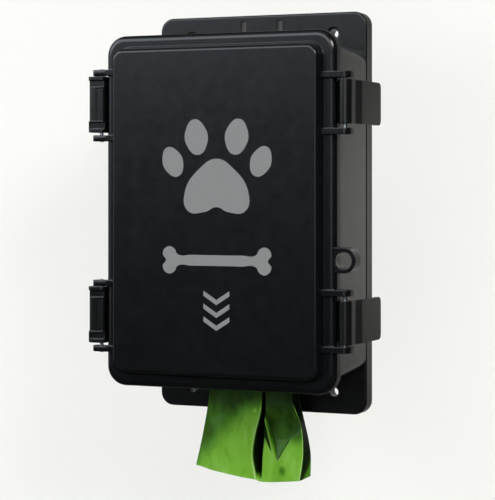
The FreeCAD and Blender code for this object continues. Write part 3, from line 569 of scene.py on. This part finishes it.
def slot_sleeves(plastic):
    """Moulded sleeves behind the strap slots, which lead the strap through the plate."""
    low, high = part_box("wall_plate")
    number = 0
    for x in (-SLOT_X, SLOT_X):
        for z in (-SLOT_Z, SLOT_Z):
            number += 1
            out = Vector((SLOT_W / 2 + SLEEVE_WALL, 0, SLOT_L / 2 + SLEEVE_WALL))
            front = Vector((x, low.y + PLATE_SKIN - 0.2 * MM, z))
            back = Vector((x, high.y - 0.4 * MM, z))
            sleeve = block(front - out, back + out)
            pick_faces(sleeve, lambda face: abs(face.normal.y) > 0.9)
            bpy.ops.mesh.inset(thickness=SLEEVE_WALL, use_individual=True)
            bpy.ops.mesh.bridge_edge_loops()
            pick_edges(sleeve, lambda edge: all(v.co.y > back.y - 0.01 * MM for v in edge.verts))
            bpy.ops.mesh.bevel(offset=0.4 * MM, segments=2)
            bpy.ops.object.mode_set(mode="OBJECT")
            finish_piece(sleeve, f"strap_slot_sleeve_{number}", "root", plastic)


def hinge_fin_tips(plastic):
    """The rounded outer ends of the lid's hinge fins, a little longer than the pin needs."""
    for hinge in ("upper", "lower"):
        low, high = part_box(hinge + "_hinge_pin")
        axis = (low + high) / 2
        for end, z in (("upper", high.z - HINGE_PIN_PROUD - HINGE_FIN_T / 2),
                       ("lower", low.z + HINGE_PIN_PROUD + HINGE_FIN_T / 2)):
            half = HINGE_FIN_T / 2 + TIP_OVER
            r = 3.5 * MM + TIP_OVER
            left, right = axis.x - 3.4 * MM - r, LID_LOW_X
            tip = block((left, axis.y - r, z - half), (right, axis.y + r, z + half))
            pick_edges(tip, lambda edge: all(v.co.x < left + 0.01 * MM for v in edge.verts)
                       and abs(edge.verts[0].co.z - edge.verts[1].co.z) > half)
            bpy.ops.mesh.bevel(offset=r * 0.8, segments=6)
            pick_edges(tip, lambda edge: abs(edge.verts[0].co.z - edge.verts[1].co.z) < 0.01 * MM
                       and edge.calc_face_angle(0) > 1.0)
            bpy.ops.mesh.bevel(offset=0.6 * MM, segments=3)
            bpy.ops.object.mode_set(mode="OBJECT")
            finish_piece(tip, f"{hinge}_hinge_fin_tip_{end}", "lid", plastic)


# Wound rolls of bags

def wound_roll(node, name, body, film, seed):
    """A roll of flattened bags: its ends show the wound edges, a little out of line."""
    low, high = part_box(node)
    radius = (high.z - low.z) / 2
    centre = (low + high) / 2
    half = (high.x - low.x) / 2
    rings = 22
    core = 14.0 * MM
    draw = random.Random(seed)
    bpy.ops.object.select_all(action="DESELECT")
    bpy.ops.mesh.primitive_cylinder_add(vertices=96, radius=radius, depth=2 * half - 1.6 * MM,
                                        location=(0, 0, 0), rotation=(0, math.radians(90), 0), end_fill_type="NGON")
    roll = bpy.context.object
    bpy.ops.object.transform_apply(rotation=True)
    step = (radius - core) / rings
    for side in (-1, 1):
        bpy.ops.object.mode_set(mode="EDIT")
        bpy.ops.mesh.select_mode(type="FACE")
        bpy.ops.mesh.select_all(action="DESELECT")
        mesh = bmesh.from_edit_mesh(roll.data)
        for face in mesh.faces:
            face.select = face.normal.x * side > 0.9
        bmesh.update_edit_mesh(roll.data)
        out = side * 0.35 * MM
        for ring in range(rings):
            now = radius - ring * step
            scale = (now - step) / now
            bpy.ops.mesh.inset(thickness=0.00001)
            shift = out * (0.4 + draw.random())
            bpy.ops.transform.translate(value=(shift, 0, 0))
            bpy.ops.mesh.extrude_region_move()
            bpy.ops.transform.resize(value=(1, scale, scale), center_override=(0, 0, 0))
            bpy.ops.transform.translate(value=(-shift, 0, 0))
        bpy.ops.mesh.extrude_region_move(TRANSFORM_OT_translate={"value": (-side * (half - 0.4 * MM), 0, 0)})
        bpy.ops.mesh.delete(type="FACE")
        bpy.ops.object.mode_set(mode="OBJECT")
    bpy.ops.object.mode_set(mode="EDIT")
    bpy.ops.mesh.select_all(action="SELECT")
    bpy.ops.mesh.remove_doubles(threshold=0.00002)
    bpy.ops.mesh.normals_make_consistent(inside=False)
    bpy.ops.object.mode_set(mode="OBJECT")
    roll.location = centre
    piece = finish_piece(roll, name, body, film, 25.0)
    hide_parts(node)
    return piece


# The hanging film

TAIL_COLUMNS = 220
TAIL_ROWS = 200
FILM_T = 0.14 * MM

# Where the film's lines lie below the outlet, as (height, x) in millimetres
LEFT_LINE = ((-216, -53.4), (-210, -52.1), (-149, -38.9), (-120, -38.4))
FOLD_LEFT_LINE = ((-219, 3.8), (-213.6, 2.9), (-200, 0.2), (-183, 2.0), (-160, 7.3), (-140, 8.0), (-120, 6.0))
FOLD_RIGHT_LINE = ((-219, 8.4), (-203, 9.1), (-182, 10.7), (-152, 11.5), (-120, 9.5))
RIGHT_LINE = ((-219, 41.4), (-203, 43.8), (-187, 44.5), (-172, 42.7), (-159, 37.4), (-151, 34.0), (-120, 33.0))
BACK_LINE = ((-219, 47.2), (-194, 46.8), (-163, 41.5), (-150, 38.4), (-120, 38.4))
END_LINE = ((0.0, -209.8), (0.27, -215.4), (0.43, -218.0), (0.57, -219.3), (0.86, -216.6), (1.0, -213.8))
# Shares of the film's width at its left edge, the fold's two edges, the right crease and
# the back edge
LINE_SHARES = (0.0, 0.43, 0.57, 0.86, 1.0)
TUCK_X, TUCK_Z = 22.5, -203.4


def between(value, low, high):
    """0 below low, 1 above high, and an even smooth rise between them."""
    share = min(1.0, max(0.0, (value - low) / (high - low)))
    return share * share * (3 - 2 * share)


def bump_at(value, centre, width):
    """1 at the centre, and smoothly down to 0 at width on either side."""
    return between(width - abs(value - centre), 0.0, width)


def path_point(path, share):
    """The value at a share of the way along a smooth line through (share, value) knots."""
    if share <= path[0][0]:
        return path[0][1]
    if share >= path[-1][0]:
        return path[-1][1]
    slopes = [(v1 - v0) / (s1 - s0) for (s0, v0), (s1, v1) in zip(path, path[1:])]
    for step, slope in enumerate(slopes):
        (s0, v0), (s1, v1) = path[step], path[step + 1]
        if share <= s1:
            wide = s1 - s0
            t = (share - s0) / wide
            into = (slopes[max(step - 1, 0)] + slope) / 2 * wide
            out = (slope + slopes[min(step + 1, len(slopes) - 1)]) / 2 * wide
            rise = v1 - v0
            return v0 + t * into + t * t * (3 * rise - 2 * into - out) + t ** 3 * (into + out - 2 * rise)


def film_x(across, z):
    """How far to the right a share of the film's width lies at a height."""
    lines = (LEFT_LINE, FOLD_LEFT_LINE, FOLD_RIGHT_LINE, RIGHT_LINE, BACK_LINE)
    xs = [path_point(line, z) for line in lines]
    for step in range(4):
        s0, s1 = LINE_SHARES[step], LINE_SHARES[step + 1]
        if across <= s1:
            folded = xs[step] + (xs[step + 1] - xs[step]) * (across - s0) / (s1 - s0)
            break
    flat = 38.4 * (across * 2 - 1)
    return flat + (folded - flat) * between(-z, 112, 134)


def tuck_edges(z):
    """The two slanting edges of the tuck, and the pale lip and dark sliver left of it."""
    rise = z - TUCK_Z
    right = TUCK_X + 0.525 * min(rise, 22) + 1.35 * max(0.0, rise - 22)
    return rise, TUCK_X - 0.286 * rise, right, TUCK_X - 0.56 * min(rise, 22)


def film_point(across, down):
    """One point of the film, in millimetres: across it from left to right, and down it from
    the roll to its end. It hangs flat off the roll, gathers in the outlet and opens below,
    with a deep fold right of its middle, a tuck beside it and its right edge turned back."""
    top = TAIL_HIGH.z / MM
    z = top + (path_point(END_LINE, across) - top) * down
    x = film_x(across, z)
    fold = between(-z, 118, 138)
    open_wide = between(-z, 140, 200)
    shut = 1 - between(down, 0.955, 0.99)
    y = FILM_Y / MM - fold * (2.0 + 2.0 * open_wide)
    y += fold * shut * (5.0 + 11.0 * open_wide) * between(across, 0.425, 0.475) * (1 - between(across, 0.525, 0.575))
    y += fold * (5.0 + 6.0 * open_wide) * between(across, 0.855, 1.0)
    y += fold * 3.5 * open_wide * (1 - between(across, 0.0, 0.16))
    rise, left, right, sliver = tuck_edges(z)
    if 0 < rise < 46 and across > 0.57:
        fade = 1 - between(rise, 34, 46)
        fade *= 1 - between(across, 0.84, 0.86)
        inside = between(x, left, left + 1.4) * (1 - between(x, right - 2.0, right + 1.0))
        y += fade * inside * min(5.5, 0.3 * rise)
        y += fade * min(3.0, 0.3 * rise) * between(x, sliver - 0.6, sliver + 0.8) * (1 - between(x, left - 3.4, left - 2.2))
        y -= fade * min(2.0, 0.2 * rise) * bump_at(x, left - 1.0, 1.6)
    spot = Vector((x * 0.05, z * 0.035, 3.1))
    y += (noise.noise(spot) * 1.6 + noise.noise(spot * 2.7) * 0.5) * fold * (0.3 + 0.7 * open_wide)
    return x, y, z


def film_painted_light(across, down, x, z):
    """Painted light and shade for the film: 0 for the deepest painted shade, in the fold and the
    turned-back edge, 0.7 for plainly lit film and 1 for a painted highlight on a sharp crease."""
    # painted shade over the film's upper left, darker above a slanting border
    border = -198.0 + 0.97 * (min(x, -1.6) + 42.4)
    tone = 0.34 + 0.36 * between(border - z, -16, 12)
    if across > 0.57:
        # right of the fold: painted shade at the top, lighter lower down
        tone = 0.26 + 0.42 * between(-z, 178, 192)
        rise, left, right, sliver = tuck_edges(z)
        if 0 < rise:
            # painted shade inside the tuck
            inside = between(x, left, left + 1.0) * (1 - between(x, right - 0.8, right + 0.8))
            tone += (0.31 - tone) * inside * between(rise, 0, 4)
            # painted shade on the sliver left of the tuck
            beside = between(x, sliver - 0.5, sliver + 0.5) * (1 - between(x, left - 2.6, left - 1.8))
            tone += (0.08 - tone) * beside * (1 - between(rise, 24, 40))
            # painted light on the tuck's lip, and a painted highlight on its right edge
            tone += (0.72 - tone) * bump_at(x, left - 0.9, 1.4) * (1 - between(rise, 36, 42))
            tone += (0.85 - tone) * bump_at(x, right, 0.8) * (1 - between(rise, 24, 34)) * 0.6
        # a small darker round spot below the tuck
        tone -= 0.28 * bump_at(math.hypot(x - 27, (z + 209.6) * 0.8), 0.0, 5.0)
    # painted shadow of the case over the film's top
    tone *= between(-z, 144, 168) * 0.6 + 0.4
    shut = 1 - between(down, 0.955, 0.985)
    # painted shade in the deep fold
    tone *= 1 - 0.95 * shut * between(across, 0.425, 0.44) * (1 - between(across, 0.56, 0.575))
    # painted shade on the turned-back right edge, lighter at its lower corner
    tone *= 1 - 0.94 * between(across, 0.862, 0.872) * (1 - 0.6 * between(across + down, 1.87, 1.93))
    # painted highlights along the fold's left edge and the right crease
    line = max(bump_at(across, 0.427, 0.008), bump_at(across, 0.86, 0.008))
    tone += (0.92 - tone) * line * between(-z, 152, 162)
    # a small lighter round spot beside the fold
    tone += 0.25 * bump_at(math.hypot(x - 2.0, z + 161.6), 0.0, 3.0)
    return min(1.0, max(0.0, tone))


def hanging_film(film):
    bpy.ops.object.select_all(action="DESELECT")
    bpy.ops.mesh.primitive_grid_add(x_subdivisions=TAIL_COLUMNS, y_subdivisions=TAIL_ROWS, size=1)
    piece = bpy.context.object
    # per-point levels of painted light and shade on the film
    tones = piece.data.attributes.new("film_painted_light", "FLOAT", "POINT")
    for vertex in piece.data.vertices:
        across, down = vertex.co.x + 0.5, 0.5 - vertex.co.y
        x, y, z = film_point(across, down)
        tones.data[vertex.index].value = film_painted_light(across, down, x, z)
        vertex.co = (x * MM, y * MM, z * MM)
    apply_modifier(piece, "SOLIDIFY", thickness=FILM_T, offset=0.0)
    finish_piece(piece, "bag_film", "root", film, 60.0)
    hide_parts("bag_tail")


def dress_cad_nodes():
    case_abs = moulded_abs("satin_black_abs", "#0D0E0E", "#090A0A", 0.19, 0.26, 0.7, 0.03)
    lid_abs = moulded_abs("satin_black_lid_abs", "#0B0C0E", "#08090A", 0.17, 0.23, 0.7, 0.02)
    smooth_abs = moulded_abs("polished_black_abs", "#0D0E0E", "#0A0A0A", 0.12, 0.2, 1.4, 0.01)
    grey_abs = moulded_abs("moulded_grey_polypropylene", "#7C7E80", "#707274", 0.4, 0.5, 0.9, 0.05)
    zinc = metal_finish("zinc_plated_sheet_steel", "#C9CBCD", "#A9AFB4", 0.36, 0.08, (1, 1, 0.06), 0.5)
    turned = metal_finish("zinc_plated_turned_steel", "#CDCFD0", "#B4B8BB", 0.28, 0.07, (1, 1, 0.15), 0.4)
    brass = metal_finish("knurled_brass", "#C9A558", "#A98438", 0.34, 0.08, (1, 0.2, 1), 0.6)
    for name in ("wall_plate", "case", "case_padlock_ear", "upper_latch_keeper", "lower_latch_keeper",
                 "upper_hinge_bracket", "lower_hinge_bracket", "upper_latch_lever", "lower_latch_lever"):
        dress(name, case_abs)
    for name in ("lid", "lid_padlock_ear"):
        dress(name, lid_abs)
    dress("outlet_bezel", smooth_abs)
    dress("lid_gasket", closed_cell_foam())
    dress("plate_inserts", brass)
    pin_steel = metal_finish("ground_stainless_steel", "#8B8E91", "#777A7D", 0.3, 0.06, (1, 1, 0.15), 0.4)
    for name in ("upper_hinge_pin", "lower_hinge_pin", "upper_latch_pin", "lower_latch_pin"):
        dress(name, pin_steel)
    for name in ("left_roll_bracket", "right_roll_bracket"):
        dress(name, zinc)
    for name in ("feed_spindle", "spare_spindle"):
        dress(name, grey_abs)
    for name in ("feed_roll_core", "spare_roll_core"):
        low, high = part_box(name)
        dress(name, wound_card("spiral_wound_kraft_card_" + name.split("_")[0], (low + high) / 2))
    slot_sleeves(case_abs)
    hinge_fin_tips(lid_abs)
    return turned


# The film's greens, from the deepest painted shade to plainly lit film, and the green of a painted highlight on a
# sharp crease
FILM_PAINTED_LIGHT_GREENS = ((0.0, "#081102"), (0.25, "#22400B"), (0.45, "#457A1B"), (0.7, "#6FA833"), (1.0, "#A7CC86"))
WOUND_TONES = ((0.42, "#356A10"), (0.58, "#4E8A1C"))


def build():
    set_camera()
    set_stage()
    steel = dress_cad_nodes()
    film = blown_film("blown_green_polyethylene", FILM_PAINTED_LIGHT_GREENS, (1, 1, 0.35), 9.0, 0.4, paints_light=True)
    wound = blown_film("wound_green_polyethylene", WOUND_TONES, (0.15, 1, 1), 2.0, 0.12, paints_light=False)
    printed_design(screen_print())
    screw_set("case_screws", "case_screw_set", 9.5 * MM, 3.4 * MM, 5.0 * MM, steel)
    screw_set("bracket_screws", "bracket_screw_set", 7.6 * MM, 2.6 * MM, 4.0 * MM, steel)
    wound_roll("feed_bag_roll", "feed_wound_bags", "feed_roll", wound, 5)
    wound_roll("spare_bag_roll", "spare_wound_bags", "spare_roll", wound, 8)
    hanging_film(film)


build()
bpy.context.scene.view_settings.view_transform = "Standard"
